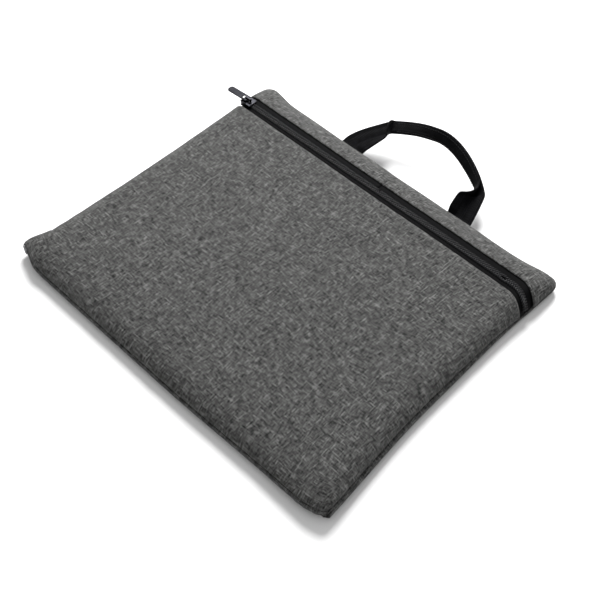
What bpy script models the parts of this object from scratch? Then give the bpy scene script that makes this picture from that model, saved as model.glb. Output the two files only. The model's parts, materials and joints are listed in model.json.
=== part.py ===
"""Zipped laptop sleeve lying on its back, with a webbing handle sewn into its top seam.

Metres, +Z up. X runs along the zip, +Y points from the bottom seam to the handle, and the origin is
the centre of the flat back face. The sleeve is layered: outer cloth, foam and lining, front and back.
"""

import math

import bmesh
import bpy
from mathutils import Vector

# Overall size, seam to seam
WIDTH = 0.342
LENGTH = 0.288
THICKNESS = 0.021
SEAM_Z = 0.009
CORNER_RADIUS = 0.008
GAP = 0.0003
SHARP_ANGLE = math.radians(40)

# How far in from the seam the faces become flat, at the sides and bottom and at the top
ROUND_FRONT = (0.016, 0.026)
ROUND_BACK = (0.009, 0.013)
FULLNESS_FRONT = 1.9
FULLNESS_BACK = 2.2
EDGE_STEPS = (0.0, 0.12, 0.3, 0.52, 0.76, 1.0)
CORNER_POINTS = 5
LAYER_SHIFT_SIDE = 1.2
LAYER_SHIFT_TOP = 1.55

# Layer thicknesses, from the outside in
CLOTH = 0.0008
TAPE = 0.0005
FOAM = 0.0028
LINING = 0.0005

# How far the edges of the foam and lining stay back from the zip's opening
FOAM_BACK = 0.002
LINING_BACK = 0.001

# Zip
ZIP_Y = 0.110
ZIP_OPEN_HALF = 0.0075
TAPE_HIDDEN = 0.006
TAPE_SPLIT_HALF = 0.0008
COIL_SPLIT_HALF = 0.0007
COIL_WIDTH = 0.0024
COIL_BELOW = 0.0008
COIL_ABOVE = 0.0010
LOWER_COIL_END_X = 0.1635
COIL_OVERLAP = 0.001
COIL_EDGE = 0.0005
STITCH_INSET = 0.003
STITCH_SIZE = 0.0006
STITCH_END = 0.001
STITCH_EDGE = 0.0001

# Bound seam allowances, measured in from the seam
BINDING_NEAR = 0.0074
BINDING_FAR = 0.0115
TOP_BINDING_NEAR = 0.0115
TOP_BINDING_FAR = 0.0155
BINDING_HALF = 0.00045
BINDING_END = 0.020
BINDING_BELOW_ZIP = 0.012
BINDING_EDGE = 0.0001

# Slider and pull tab
SLIDER_X = -0.161
SLIDER_LENGTH = 0.012
SLIDER_HALF_WIDTH = 0.005
SLIDER_INNER_HALF = 0.0034
TOP_PLATE = 0.0012
BOTTOM_PLATE = 0.0010
POST_HALF_WIDTH = 0.0004
POST_LENGTH = 0.0025
POST_INSET = 0.001
FLANGE_INSET = 0.0004
JOIN = 0.0002
CROWN_LENGTH = 0.0072
CROWN_HALF_WIDTH = 0.0012
CROWN_WALL = 0.0010
CROWN_EDGE = 0.0005
PULL_X = -0.162
PULL_RISE = 0.0041
PULL_LENGTH = 0.025
PULL_HALF_WIDTH = 0.0035
PULL_THICKNESS = 0.0014
PULL_WINDOW = (0.0007, 0.0062)
PULL_WINDOW_HALF = 0.0017
PULL_DROOP = math.radians(4.5)
PULL_TIP_RADIUS = 0.0028
PULL_TIP_STEPS = 6
SLIDER_TRAVEL = 0.302
METAL_EDGE = 0.00022

# Room in the tapes and the upper coil for the slider where it stops at either end
PARK_HALF_WIDTH = 0.0056
PARK_MARGIN = 0.0025
LOWER_PARKING_END_X = -0.164

# Handle
HANDLE_Y = 0.147
HANDLE_LIFT = math.radians(24)
WEBBING_WIDTH = 0.025
WEBBING = 0.0016
FOLD_WIDTH = 0.019
FOLD = 0.0026
GRIP_WIDTH = 0.0125
GRIP = 0.0036
HANDLE_END_LENGTH = 0.012
HANDLE_END_INSET = 0.0165
HANDLE_END_EDGE = 0.0003

CLOTH_GREY = (0.135, 0.134, 0.130)
TRIM_BLACK = (0.013, 0.013, 0.015)


def clear_scene():
    for thing in list(bpy.data.objects):
        bpy.data.objects.remove(thing, do_unlink=True)


def material(name, colour, roughness, metallic=0.0):
    made = bpy.data.materials.new(name)
    made.use_nodes = True
    shader = made.node_tree.nodes["Principled BSDF"]
    shader.inputs["Base Color"].default_value = (*colour, 1.0)
    shader.inputs["Roughness"].default_value = roughness
    shader.inputs["Metallic"].default_value = metallic
    return made


def add_object(name, mesh_source, look):
    """Turns a bmesh into a named object, with its normals facing out."""
    bmesh.ops.recalc_face_normals(mesh_source, faces=mesh_source.faces)
    mesh = bpy.data.meshes.new(name)
    mesh_source.to_mesh(mesh)
    mesh_source.free()
    mesh.shade_smooth()
    mesh.set_sharp_from_angle(angle=SHARP_ANGLE)
    mesh.materials.append(look)
    made = bpy.data.objects.new(name, mesh)
    bpy.context.scene.collection.objects.link(made)
    return made


# Layered shells


def plan(side, top, bottom):
    """A rounded rectangle, moved in from the seam by these three distances."""
    x = WIDTH / 2 - side - CORNER_RADIUS
    y_high = LENGTH / 2 - top - CORNER_RADIUS
    y_low = -LENGTH / 2 + bottom + CORNER_RADIUS
    points = []
    for quarter, (cx, cy) in enumerate(((x, y_high), (-x, y_high), (-x, y_low), (x, y_low))):
        for k in range(CORNER_POINTS):
            turn = math.pi / 2 * (quarter + k / (CORNER_POINTS - 1))
            points.append((cx + CORNER_RADIUS * math.cos(turn), cy + CORNER_RADIUS * math.sin(turn)))
    return points


def shell_ring(bm, front, depth, step):
    """One ring of vertices on the face that lies this deep under the outer face."""
    height = THICKNESS - SEAM_Z if front else SEAM_Z
    round_side, round_top = ROUND_FRONT if front else ROUND_BACK
    fullness = FULLNESS_FRONT if front else FULLNESS_BACK
    start_side = depth * LAYER_SHIFT_SIDE
    start_top = depth * LAYER_SHIFT_TOP
    side = start_side + (round_side - start_side) * step
    top = start_top + (round_top - start_top) * step
    rise = GAP / 2 + (height - depth - GAP / 2) * (1 - (1 - step) ** fullness)
    z = SEAM_Z + rise if front else SEAM_Z - rise
    return [bm.verts.new((x, y, z)) for x, y in plan(side, top, side)]


def band_of_faces(bm, first, second):
    for k in range(len(first)):
        after = (k + 1) % len(first)
        bm.faces.new((first[k], first[after], second[after], second[k]))


def shell_mesh(front, outer_depth, inner_depth):
    """A closed tray between two depths, open towards the other half of the sleeve."""
    bm = bmesh.new()
    outer = [shell_ring(bm, front, outer_depth, step) for step in EDGE_STEPS]
    inner = [shell_ring(bm, front, inner_depth, step) for step in EDGE_STEPS]
    rings = outer[::-1] + inner
    for first, second in zip(rings, rings[1:]):
        band_of_faces(bm, first, second)
    bm.faces.new(outer[-1])
    bm.faces.new(inner[-1])
    return bm


def keep_side(bm, y, above):
    """Cuts the mesh at this y, keeps one side and closes the cut."""
    direction = -1 if above else 1
    cut = bmesh.ops.bisect_plane(
        bm,
        geom=list(bm.verts) + list(bm.edges) + list(bm.faces),
        plane_co=(0, y, 0),
        plane_no=(0, direction, 0),
        clear_outer=True,
    )
    edges = [item for item in cut["geom_cut"] if isinstance(item, bmesh.types.BMEdge)]
    bmesh.ops.edgeloop_fill(bm, edges=edges)


def box_mesh(low, high):
    bm = bmesh.new()
    bmesh.ops.create_cube(bm, size=1)
    size = Vector(high) - Vector(low)
    bmesh.ops.scale(bm, vec=size, verts=bm.verts)
    bmesh.ops.translate(bm, vec=(Vector(high) + Vector(low)) / 2, verts=bm.verts)
    return bm


def rounded_box(name, low, high, look, radius):
    made = add_object(name, box_mesh(low, high), look)
    bevel = made.modifiers.new("rounded_edges", "BEVEL")
    bevel.width = radius
    bevel.segments = 1
    return made


def soften(thing):
    """Rounds the sharp edges left after the Booleans."""
    bevel = thing.modifiers.new("softened_edges", "BEVEL")
    bevel.width = METAL_EDGE
    bevel.segments = 2
    bevel.limit_method = "ANGLE"


def hidden(thing):
    thing.hide_render = True
    thing.display_type = "WIRE"
    return thing


def boolean(target, other, operation):
    step = target.modifiers.new(f"{operation.lower()}_{other.name}", "BOOLEAN")
    step.operation = operation
    step.solver = "EXACT"
    step.object = hidden(other)


def add_layers(looks):
    """The back tray, and the front shell cut in two by the zip."""
    foam_depth = CLOTH + GAP + TAPE + GAP
    front = {
        "cloth": (0.0, CLOTH, ZIP_OPEN_HALF, "front_panel", "top_band"),
        "foam": (foam_depth, foam_depth + FOAM, ZIP_OPEN_HALF + FOAM_BACK, "front_foam", "band_foam"),
        "lining": (
            foam_depth + FOAM + GAP,
            foam_depth + FOAM + GAP + LINING,
            ZIP_OPEN_HALF + LINING_BACK,
            "front_lining",
            "band_lining",
        ),
    }
    for kind, (outer, inner, half, lower_name, upper_name) in front.items():
        for name, above in ((lower_name, False), (upper_name, True)):
            bm = shell_mesh(True, outer, inner)
            keep_side(bm, ZIP_Y + half if above else ZIP_Y - half, above)
            add_object(name, bm, looks[kind])
    depth = 0.0
    for kind, thickness, name in (
        ("cloth", CLOTH, "back_panel"),
        ("foam", FOAM, "back_foam"),
        ("lining", LINING, "back_lining"),
    ):
        add_object(name, shell_mesh(False, depth, depth + thickness), looks[kind])
        depth += thickness + GAP


def add_zip(looks):
    tape_top = CLOTH + GAP
    left_stop = SLIDER_X + SLIDER_LENGTH / 2 + PARK_MARGIN
    right_stop = SLIDER_X + SLIDER_TRAVEL - SLIDER_LENGTH / 2 - PARK_MARGIN
    for name, above, parkings in (
        ("zip_tape_lower", False, ((LOWER_PARKING_END_X, left_stop),)),
        ("zip_tape_upper", True, ((-WIDTH, left_stop), (right_stop, WIDTH))),
    ):
        bm = shell_mesh(True, tape_top, tape_top + TAPE)
        hidden_edge = ZIP_OPEN_HALF + TAPE_HIDDEN
        near = ZIP_Y + TAPE_SPLIT_HALF if above else ZIP_Y - TAPE_SPLIT_HALF
        far = ZIP_Y + hidden_edge if above else ZIP_Y - hidden_edge
        keep_side(bm, near, above)
        keep_side(bm, far, not above)
        tape = add_object(name, bm, looks["tape"])
        for k, (start, end) in enumerate(parkings):
            parking = box_mesh(
                (start, ZIP_Y - PARK_HALF_WIDTH, -THICKNESS),
                (end, ZIP_Y + PARK_HALF_WIDTH, 2 * THICKNESS),
            )
            boolean(tape, add_object(f"{name}_parking_{k}", parking, looks["tape"]), "DIFFERENCE")
    for name, sign, start, end in (
        ("zip_coil_lower", -1, -LOWER_COIL_END_X, LOWER_COIL_END_X),
        ("zip_coil_upper", 1, left_stop - COIL_OVERLAP, right_stop + COIL_OVERLAP),
    ):
        edges = sorted(ZIP_Y + sign * (COIL_SPLIT_HALF + reach) for reach in (0, COIL_WIDTH))
        low = (start, edges[0], THICKNESS - COIL_BELOW)
        high = (end, edges[1], THICKNESS + COIL_ABOVE)
        rounded_box(name, low, high, looks["coil"], COIL_EDGE)
    for name, sign in (("zip_stitching_lower", -1), ("zip_stitching_upper", 1)):
        y = ZIP_Y + sign * (ZIP_OPEN_HALF + STITCH_INSET)
        z = THICKNESS + GAP
        end = WIDTH / 2 - ROUND_FRONT[0] - STITCH_END
        low = (-end, y - STITCH_SIZE / 2, z)
        high = (end, y + STITCH_SIZE / 2, z + STITCH_SIZE)
        rounded_box(name, low, high, looks["thread"], STITCH_EDGE)


def add_bindings(looks):
    """The bound seam allowances inside the pocket."""
    x = WIDTH / 2
    y = LENGTH / 2
    side_low = -y + BINDING_END
    side_high = ZIP_Y - BINDING_BELOW_ZIP
    end = x - BINDING_END
    for name, x_range, y_range in (
        ("side_binding_left", (-x + BINDING_NEAR, -x + BINDING_FAR), (side_low, side_high)),
        ("side_binding_right", (x - BINDING_FAR, x - BINDING_NEAR), (side_low, side_high)),
        ("bottom_binding", (-end, end), (-y + BINDING_NEAR, -y + BINDING_FAR)),
        ("top_binding", (-end, end), (y - TOP_BINDING_FAR, y - TOP_BINDING_NEAR)),
    ):
        low = (x_range[0], y_range[0], SEAM_Z - BINDING_HALF)
        high = (x_range[1], y_range[1], SEAM_Z + BINDING_HALF)
        rounded_box(name, low, high, looks["binding"], BINDING_EDGE)


# Slider and pull tab


def add_slider(looks):
    half = SLIDER_LENGTH / 2
    plate_low = THICKNESS + COIL_ABOVE + GAP
    plate_high = plate_low + TOP_PLATE
    tape_depth = CLOTH + GAP + TAPE + GAP
    base_high = THICKNESS - tape_depth
    base_low = base_high - BOTTOM_PLATE
    left = SLIDER_X - half
    right = SLIDER_X + half
    low_y = ZIP_Y - SLIDER_HALF_WIDTH
    high_y = ZIP_Y + SLIDER_HALF_WIDTH
    top_plate = box_mesh((left, low_y, plate_low), (right, high_y, plate_high))
    body = add_object("slider_body", top_plate, looks["metal"])
    parts = {
        "slider_base": ((left, low_y, base_low), (right, high_y, base_high)),
        "slider_post": (
            (left + POST_INSET, ZIP_Y - POST_HALF_WIDTH, base_low + JOIN),
            (left + POST_INSET + POST_LENGTH, ZIP_Y + POST_HALF_WIDTH, plate_high - JOIN),
        ),
    }
    flange_low = THICKNESS - COIL_BELOW
    for side, sign in (("lower", -1), ("upper", 1)):
        edges = sorted(ZIP_Y + sign * reach for reach in (SLIDER_INNER_HALF, SLIDER_HALF_WIDTH - JOIN))
        parts[f"slider_flange_{side}"] = (
            (left + FLANGE_INSET, edges[0], flange_low),
            (right - FLANGE_INSET, edges[1], plate_low + 2 * JOIN),
        )
    for name, (low, high) in parts.items():
        boolean(body, add_object(name, box_mesh(low, high), looks["metal"]), "UNION")
    soften(body)

    crown_low = plate_high + GAP
    pivot_z = THICKNESS + PULL_RISE
    roof_low = pivot_z + PULL_WINDOW[0] + GAP
    crown_left = SLIDER_X - CROWN_LENGTH / 2
    crown_right = SLIDER_X + CROWN_LENGTH / 2
    crown = rounded_box(
        "slider_crown",
        (crown_left, ZIP_Y - CROWN_HALF_WIDTH, crown_low),
        (crown_right, ZIP_Y + CROWN_HALF_WIDTH, roof_low + CROWN_WALL),
        looks["metal"],
        CROWN_EDGE,
    )
    tunnel = box_mesh(
        (crown_left + CROWN_WALL, ZIP_Y - 2 * CROWN_HALF_WIDTH, crown_low - CROWN_WALL),
        (crown_right - CROWN_WALL, ZIP_Y + 2 * CROWN_HALF_WIDTH, roof_low),
    )
    boolean(crown, add_object("crown_tunnel", tunnel, looks["metal"]), "DIFFERENCE")


def add_pull_tab(looks):
    """A flat tab with a window for the crown. It is modelled along -X from its own axis."""
    half = PULL_THICKNESS / 2
    blank = box_mesh((-PULL_LENGTH, -PULL_HALF_WIDTH, -half), (half, PULL_HALF_WIDTH, half))
    corners = [e for e in blank.edges if abs(e.verts[0].co.z - e.verts[1].co.z) > half]
    end_corners = [e for e in corners if e.verts[0].co.x < -half]
    bmesh.ops.bevel(
        blank,
        geom=end_corners,
        offset=PULL_TIP_RADIUS,
        offset_type="OFFSET",
        segments=PULL_TIP_STEPS,
        profile=0.5,
        affect="EDGES",
        material=-1,
    )
    tab = add_object("pull_tab", blank, looks["metal"])
    window = box_mesh(
        (-PULL_WINDOW[1], -PULL_WINDOW_HALF, -4 * half),
        (-PULL_WINDOW[0], PULL_WINDOW_HALF, 4 * half),
    )
    cutter = add_object("pull_window", window, looks["metal"])
    boolean(tab, cutter, "DIFFERENCE")
    soften(tab)
    for thing in (tab, cutter):
        thing.location = (PULL_X, ZIP_Y, THICKNESS + PULL_RISE)
        thing.rotation_euler = (0, -PULL_DROOP, 0)


# Handle


def handle_route():
    """Centre, width and thickness along the strap, in the handle's own plane."""
    leg = (WEBBING_WIDTH, WEBBING)
    fold = (FOLD_WIDTH, FOLD)
    grip = (GRIP_WIDTH, GRIP)
    return (
        ((-0.060, 0.000), leg),
        ((-0.057, 0.012), leg),
        ((-0.051, 0.024), leg),
        ((-0.043, 0.035), fold),
        ((-0.028, 0.0445), grip),
        ((-0.012, 0.0505), grip),
        ((0.006, 0.0530), grip),
        ((0.024, 0.0510), grip),
        ((0.040, 0.0450), grip),
        ((0.053, 0.0360), fold),
        ((0.060, 0.0240), leg),
        ((0.063, 0.0120), leg),
        ((0.064, 0.000), leg),
    )


def add_handle(looks):
    route = handle_route()
    bm = bmesh.new()
    sections = []
    for k, (centre, (width, thickness)) in enumerate(route):
        before = Vector(route[max(k - 1, 0)][0])
        after = Vector(route[min(k + 1, len(route) - 1)][0])
        along = (after - before).normalized()
        if k in (0, len(route) - 1):
            along = Vector((0, 1)) if k == 0 else Vector((0, -1))
        across = Vector((along.y, -along.x))
        ring = []
        for side, face in ((-1, -1), (1, -1), (1, 1), (-1, 1)):
            at = Vector(centre) + across * side * width / 2
            ring.append(bm.verts.new((at.x, at.y, face * thickness / 2)))
        sections.append(ring)
    for first, second in zip(sections, sections[1:]):
        band_of_faces(bm, first, second)
    bm.faces.new(sections[0])
    bm.faces.new(sections[-1])
    strap = add_object("handle_strap", bm, looks["webbing"])

    stitches = bmesh.new()
    rings = []
    grip = [centre for centre, section in route if section == (GRIP_WIDTH, GRIP)]
    for centre in grip:
        ring = []
        for side, face in ((-1, 0), (1, 0), (1, 1), (-1, 1)):
            y = centre[1] + side * STITCH_SIZE / 2
            ring.append(stitches.verts.new((centre[0], y, GRIP / 2 + GAP + face * STITCH_SIZE)))
        rings.append(ring)
    for first, second in zip(rings, rings[1:]):
        band_of_faces(stitches, first, second)
    stitches.faces.new(rings[0])
    stitches.faces.new(rings[-1])
    thread = add_object("grip_stitching", stitches, looks["thread"])
    for thing in (strap, thread):
        thing.location = (0, HANDLE_Y, SEAM_Z)
        thing.rotation_euler = (HANDLE_LIFT, 0, 0)

    end_low_y = LENGTH / 2 - HANDLE_END_INSET - HANDLE_END_LENGTH
    for name, (x, _) in (("handle_end_left", route[0][0]), ("handle_end_right", route[-1][0])):
        low = (x - WEBBING_WIDTH / 2, end_low_y, SEAM_Z - WEBBING / 2)
        high = (x + WEBBING_WIDTH / 2, end_low_y + HANDLE_END_LENGTH, SEAM_Z + WEBBING / 2)
        rounded_box(name, low, high, looks["webbing"], HANDLE_END_EDGE)


def main():
    clear_scene()
    looks = {
        "cloth": material("grey_cloth", CLOTH_GREY, 0.9),
        "foam": material("foam", (0.32, 0.32, 0.33), 0.95),
        "lining": material("lining", (0.05, 0.05, 0.055), 0.85),
        "tape": material("zip_tape", TRIM_BLACK, 0.85),
        "coil": material("zip_coil", (0.010, 0.010, 0.012), 0.45),
        "thread": material("thread", (0.10, 0.10, 0.10), 0.8),
        "binding": material("binding", (0.02, 0.02, 0.022), 0.85),
        "webbing": material("webbing", (0.015, 0.015, 0.018), 0.8),
        "metal": material("dark_metal", (0.10, 0.10, 0.105), 0.35, 1.0),
    }
    add_layers(looks)
    add_zip(looks)
    add_bindings(looks)
    add_slider(looks)
    add_pull_tab(looks)
    add_handle(looks)


main()
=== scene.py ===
"""The looks of a zipped laptop sleeve: melange cloth, coil zip, webbing handle and dark metal slider.

Every piece is placed from the CAD frame. Metres, +Z up, +X along the zip, +Y towards the handle.
"""

import json
import math

import bmesh
import bpy
from mathutils import Matrix, Vector, noise
from mathutils.geometry import interpolate_bezier


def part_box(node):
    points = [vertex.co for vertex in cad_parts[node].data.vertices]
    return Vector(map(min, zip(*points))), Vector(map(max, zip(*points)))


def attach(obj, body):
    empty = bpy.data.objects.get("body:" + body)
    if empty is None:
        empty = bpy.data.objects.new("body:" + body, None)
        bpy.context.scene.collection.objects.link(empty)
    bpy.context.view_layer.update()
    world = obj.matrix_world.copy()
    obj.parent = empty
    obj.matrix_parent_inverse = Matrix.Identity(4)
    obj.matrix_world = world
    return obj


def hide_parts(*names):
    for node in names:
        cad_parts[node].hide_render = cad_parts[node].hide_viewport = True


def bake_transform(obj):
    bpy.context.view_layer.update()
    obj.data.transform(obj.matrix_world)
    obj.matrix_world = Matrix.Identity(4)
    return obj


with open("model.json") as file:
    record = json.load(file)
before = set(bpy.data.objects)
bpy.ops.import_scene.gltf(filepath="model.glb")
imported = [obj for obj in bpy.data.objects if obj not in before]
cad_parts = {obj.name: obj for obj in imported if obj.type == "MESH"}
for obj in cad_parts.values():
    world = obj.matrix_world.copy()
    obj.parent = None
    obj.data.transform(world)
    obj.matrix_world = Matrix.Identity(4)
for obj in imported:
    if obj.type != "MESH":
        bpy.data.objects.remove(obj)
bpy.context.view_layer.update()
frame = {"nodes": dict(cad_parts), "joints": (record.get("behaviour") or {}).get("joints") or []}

bl_info = {
    "name": "Laptop Sleeve",
    "version": (1, 0, 0),
    "blender": (4, 5, 0),
    "location": "View3D > Sidebar > Sleeve",
    "description": "Builds a padded laptop sleeve with a coil zip and a webbing handle",
    "category": "Add Mesh",
}


# Places that come from the frame

SLEEVE_LOW, SLEEVE_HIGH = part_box("back_panel")
FRONT_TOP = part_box("front_panel")[1].z
ZIP_LOW_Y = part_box("front_panel")[1].y
ZIP_HIGH_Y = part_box("top_band")[0].y
ZIP_Y = (ZIP_LOW_Y + ZIP_HIGH_Y) / 2
JOINTS = {joint["name"]: joint for joint in frame["joints"]}
SEAM_Z = JOINTS["flap_hinge"]["pos_m"][2]
HANDLE_PIVOT = Vector(JOINTS["handle_swing"]["pos_m"])
SLIDER_LOW, SLIDER_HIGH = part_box("slider_body")
SLIDER_TRAVEL = JOINTS["slider_travel"]["range_m"][1]
STRAP_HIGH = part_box("handle_strap")[1]


# Sizes and colours that a user would change


def size_property(name, description, default):
    return bpy.props.FloatProperty(
        name=name, description=description, default=default, unit="LENGTH"
    )


class SleeveSizes(bpy.types.PropertyGroup):
    cloth: size_property("Cloth", "Thickness of the outer cloth", 0.0007)
    side_round: size_property("Side round", "How far in the padded sides stay rounded", 0.013)
    bottom_round: size_property("Bottom round", "How far in the bottom edge stays rounded", 0.030)
    back_round: size_property("Back round", "Rounding of the back's edge", 0.007)
    pucker: size_property("Pucker", "Height of the puckers along the seams", 0.0004)
    sag: size_property("Sag", "Height of the soft waves in the faces", 0.0009)
    coil_pitch: size_property("Coil pitch", "Distance between the turns of the zip's coil", 0.0021)
    coil_wire: size_property("Coil wire", "Radius of the coil's filament", 0.00042)
    stitch_pitch: size_property("Stitch pitch", "Distance between topstitches", 0.0034)
    webbing_width: size_property("Webbing width", "Width of the handle's webbing", 0.025)
    webbing: size_property("Webbing", "Thickness of the handle's webbing", 0.0014)


def colour_property(name, description, default):
    return bpy.props.FloatVectorProperty(
        name=name, description=description, default=default, subtype="COLOR", size=3, min=0, max=1
    )


class SleeveColours(bpy.types.PropertyGroup):
    yarn_dark: colour_property("Dark yarn", "Darkest yarns of the cloth", (0.0060, 0.0060, 0.0059))
    yarn_light: colour_property("Light yarn", "Lightest yarns of the cloth", (0.100, 0.100, 0.0975))
    webbing: colour_property("Webbing", "Handle webbing", (0.0018, 0.0018, 0.0022))
    tape: colour_property("Tape", "Zip tape", (0.0015, 0.0015, 0.0017))
    coil: colour_property("Coil", "Zip coil", (0.0070, 0.0070, 0.0080))
    metal: colour_property("Metal", "Slider and pull tab", (0.009, 0.009, 0.0105))
    lining: colour_property("Lining", "Lining of the pocket", (0.030, 0.030, 0.034))
    foam: colour_property("Foam", "Padding", (0.300, 0.300, 0.310))
    thread: colour_property("Thread", "Topstitching", (0.060, 0.060, 0.060))


def sizes():
    return bpy.context.scene.sleeve_sizes


def colours():
    return bpy.context.scene.sleeve_colours


# Shader groups


def group(name, inputs, outputs):
    """An empty shader group with float inputs and the named outputs."""
    made = bpy.data.node_groups.new(name, "ShaderNodeTree")
    for socket, default in inputs:
        new = made.interface.new_socket(socket, in_out="INPUT", socket_type="NodeSocketFloat")
        new.default_value = default
    for socket, kind in outputs:
        made.interface.new_socket(socket, in_out="OUTPUT", socket_type=kind)
    ends = made.nodes.new("NodeGroupInput"), made.nodes.new("NodeGroupOutput")
    return made, *ends


def math_node(tree, operation, first, second=None, third=None, clamp=False):
    node = tree.nodes.new("ShaderNodeMath")
    node.operation = operation
    node.use_clamp = clamp
    for k, value in enumerate((first, second, third)):
        if value is None:
            continue
        if isinstance(value, (int, float)):
            node.inputs[k].default_value = value
        else:
            tree.links.new(value, node.inputs[k])
    return node.outputs[0]


def noise_node(tree, vector, scale, detail=2.0, roughness=0.5):
    node = tree.nodes.new("ShaderNodeTexNoise")
    node.inputs["Scale"].default_value = scale
    node.inputs["Detail"].default_value = detail
    node.inputs["Roughness"].default_value = roughness
    tree.links.new(vector, node.inputs["Vector"])
    return node.outputs["Fac"]


def spread(tree, value, low, high):
    """Stretches the middle of a noise to 0 to 1."""
    node = tree.nodes.new("ShaderNodeMapRange")
    node.inputs["From Min"].default_value = low
    node.inputs["From Max"].default_value = high
    tree.links.new(value, node.inputs["Value"])
    return node.outputs["Result"]


def flat_coords(tree):
    """The place on the flat cloth, whole and split in two."""
    coords = tree.nodes.new("ShaderNodeTexCoord").outputs["UV"]
    split = tree.nodes.new("ShaderNodeSeparateXYZ")
    tree.links.new(coords, split.inputs[0])
    return coords, split


def yarn_group():
    """Melange yarns in warp and weft, with painted highlights (glints) along single yarns: how light each
    spot is, and the height of the weave.
    """
    tree, start, end = group(
        "Melange weave",
        (("Yarn width", 0.0006), ("Streak length", 0.009)),
        (("Lightness", "NodeSocketFloat"), ("Height", "NodeSocketFloat")),
    )
    coords, split = flat_coords(tree)
    per_yarn = math_node(tree, "DIVIDE", 1.0, start.outputs["Yarn width"])
    per_streak = math_node(tree, "DIVIDE", 1.0, start.outputs["Streak length"])
    streaks = []
    glints = []
    weave = []
    for along, across, shift in ((0, 1, 3.7), (1, 0, 11.3)):
        yarn_at = math_node(tree, "MULTIPLY", split.outputs[across], per_yarn)
        row_at = math_node(tree, "MULTIPLY", math_node(tree, "FLOOR", yarn_at), 5.37)
        streak_at = math_node(tree, "MULTIPLY_ADD", split.outputs[along], per_streak, shift)
        joined = tree.nodes.new("ShaderNodeCombineXYZ")
        tree.links.new(row_at, joined.inputs[0])
        tree.links.new(streak_at, joined.inputs[1])
        streaks.append(spread(tree, noise_node(tree, joined.outputs[0], 1.0, 1.0), 0.33, 0.67))
        # Painted highlights: thin bright glints along single yarns, painted into the cloth's colour.
        glints.append(spread(tree, noise_node(tree, joined.outputs[0], 0.71, 0.0), 0.68, 0.76))
        turn = math_node(tree, "MULTIPLY", split.outputs[across], math_node(
            tree, "MULTIPLY", per_yarn, math.pi))
        weave.append(math_node(tree, "SINE", turn))
    woven = math_node(tree, "MULTIPLY", weave[0], weave[1])
    over = math_node(tree, "GREATER_THAN", woven, 0.0)
    fleck = spread(tree, noise_node(tree, coords, 1100.0, 1.0), 0.3, 0.7)
    broad = spread(tree, noise_node(tree, coords, 70.0, 3.0), 0.25, 0.75)
    warp_share = math_node(tree, "MULTIPLY_ADD", over, 0.2, 0.4)
    warp = math_node(tree, "MULTIPLY", streaks[0], warp_share)
    weft = math_node(tree, "MULTIPLY", streaks[1], math_node(tree, "SUBTRACT", 1.0, warp_share))
    both = spread(tree, math_node(tree, "ADD", warp, weft), 0.18, 0.82)
    flecked = math_node(tree, "MULTIPLY_ADD", fleck, 0.14, math_node(tree, "MULTIPLY", both, 0.86))
    # The painted glint highlights are added to the yarns' lightness here.
    glint_highlights = math_node(tree, "MAXIMUM", glints[0], glints[1])
    lit = math_node(tree, "MULTIPLY_ADD", glint_highlights, 0.85, flecked)
    shaded = math_node(tree, "MULTIPLY_ADD", broad, 0.12, math_node(tree, "SUBTRACT", lit, 0.15))
    tree.links.new(math_node(tree, "MINIMUM", math_node(tree, "MAXIMUM", shaded, 0.0), 2.2),
                   end.inputs["Lightness"])
    height = math_node(tree, "MULTIPLY_ADD", math_node(tree, "ABSOLUTE", woven), 0.6,
                       math_node(tree, "MULTIPLY", fleck, 0.4))
    tree.links.new(height, end.inputs["Height"])
    return tree


def rib_group():
    """Slanted ribs that change direction in bands, as on webbing and zip tape. Their colour mask paints
    highlights on the rib crowns and shade in the grooves, mixed with wear patches.
    """
    tree, start, end = group(
        "Slanted ribs",
        (("Rib pitch", 0.0011), ("Band width", 0.0031), ("Slant", 1.0)),
        (("Height", "NodeSocketFloat"), ("Wear", "NodeSocketFloat")),
    )
    coords, split = flat_coords(tree)
    band_at = math_node(tree, "DIVIDE", split.outputs[1], start.outputs["Band width"])
    zigzag = math_node(tree, "PINGPONG", band_at, 1.0)
    lean = math_node(
        tree, "MULTIPLY", math_node(tree, "MULTIPLY", zigzag, start.outputs["Band width"]),
        start.outputs["Slant"],
    )
    along = math_node(tree, "ADD", split.outputs[0], lean)
    turn = math_node(
        tree, "MULTIPLY", math_node(tree, "DIVIDE", along, start.outputs["Rib pitch"]), 2 * math.pi
    )
    rib = math_node(tree, "MULTIPLY_ADD", math_node(tree, "SINE", turn), 0.5, 0.5)
    groove = math_node(tree, "SINE", math_node(tree, "MULTIPLY", band_at, math.pi))
    valley = math_node(tree, "POWER", math_node(tree, "ABSOLUTE", groove), 0.4)
    yarn = spread(tree, noise_node(tree, coords, 2600.0, 2.0), 0.3, 0.7)
    shaped = math_node(tree, "MULTIPLY", rib, valley)
    height = math_node(tree, "MULTIPLY_ADD", yarn, 0.2, math_node(tree, "MULTIPLY", shaped, 0.8))
    tree.links.new(height, end.inputs["Height"])
    wear = spread(tree, noise_node(tree, coords, 140.0, 4.0, 0.6), 0.35, 0.8)
    # Painted highlights and shade: the wear patches times the rib's height, so crowns are painted lighter
    # and grooves darker.
    tree.links.new(math_node(tree, "MULTIPLY", wear, height), end.inputs["Wear"])
    return tree


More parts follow.
